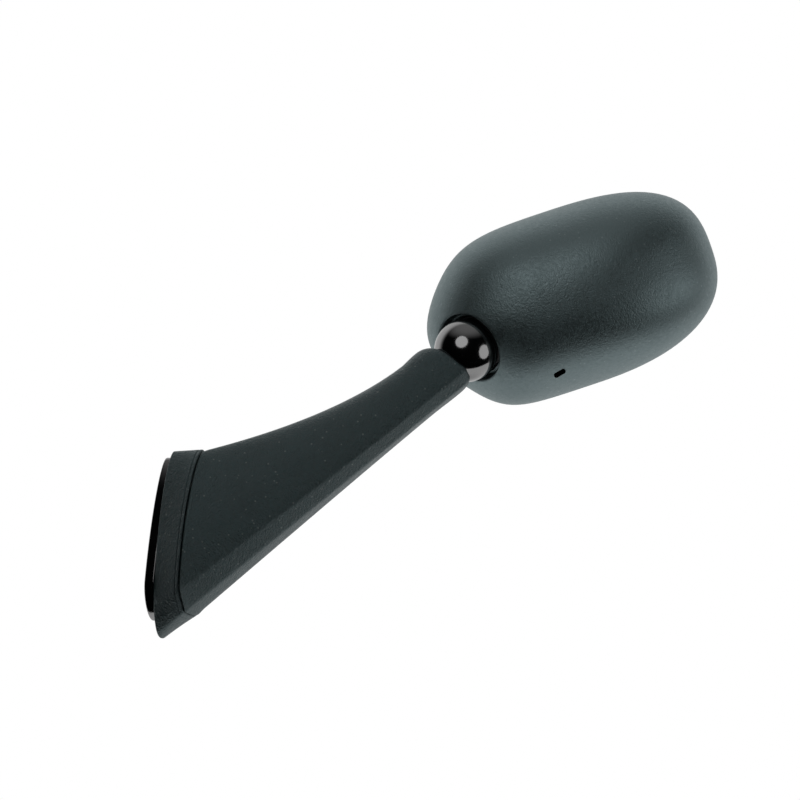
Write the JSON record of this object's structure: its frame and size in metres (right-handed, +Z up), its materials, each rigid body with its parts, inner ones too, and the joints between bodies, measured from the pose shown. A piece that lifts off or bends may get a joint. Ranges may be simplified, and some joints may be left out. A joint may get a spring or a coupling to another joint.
{
  "type": "motorcycle mirror",
  "caption": "Fairing-mounted motorcycle mirror with a folding hollow arm and an egg-shaped housing on a ball joint.",
  "frame": {"origin": "on the fitting face against the fairing, midway between the two mounting screws, on the fold pivot's axis", "axes": "+X out of the fitting face towards the arm, +Y towards the rear of the motorcycle, +Z up"},
  "size_m": [0.2641, 0.232, 0.2568],
  "materials": {
    "satin_black": "satin, fine moulded grain",
    "gloss_black": "gloss",
    "steel": "zinc plated",
    "spring_steel": "oiled",
    "natural_polymer": "satin",
    "black_polymer": "smooth",
    "carrier_plastic": "matt",
    "foam": "matt",
    "mirror": "polished"
  },
  "bodies": {
    "base": {"base_casting": "satin_black", "fairing_pad": "gloss_black", "mounting_sleeves": "steel", "pivot_bush": "natural_polymer"},
    "arm": {"friction_washer": "natural_polymer", "pivot_bolt": "steel", "pivot_spring": "spring_steel", "pivot_washer": "steel", "pivot_nut": "steel", "arm_body": "satin_black", "arm_rear_cover": "satin_black", "cover_screws": "steel", "ball": "gloss_black", "ball_stud": "steel", "pressure_cup": "steel", "ball_spring": "spring_steel", "spring_seat": "steel", "stud_nut": "steel"},
    "ring": {"friction_ring": "black_polymer"},
    "liner": {"socket_liner": "black_polymer"},
    "head": {"head_shell": "satin_black", "glass_carrier": "carrier_plastic", "carrier_screws": "steel", "glass_pad": "foam", "mirror_glass": "mirror"}
  },
  "joints": [
    {"name": "fold", "type": "hinge", "parent": "base", "child": "arm", "pos_m": [0, 0, 0], "axis": [1, 0, 0], "range_deg": [-60, 30]},
    {"name": "mirror_pitch", "type": "hinge", "parent": "arm", "child": "ring", "pos_m": [0.1415, 0.112, 0.1115], "axis": [0.8595, 0.4008, 0.3173], "range_deg": [-12, 12]},
    {"name": "mirror_yaw", "type": "hinge", "parent": "ring", "child": "liner", "pos_m": [0.1415, 0.112, 0.1115], "axis": [-0.2876, -0.1341, 0.9483], "range_deg": [-12, 12]},
    {"name": "mirror_level", "type": "hinge", "parent": "liner", "child": "head", "pos_m": [0.1415, 0.112, 0.1115], "axis": [-0.4226, 0.9063, 0], "range_deg": [-12, 12]}
  ]
}
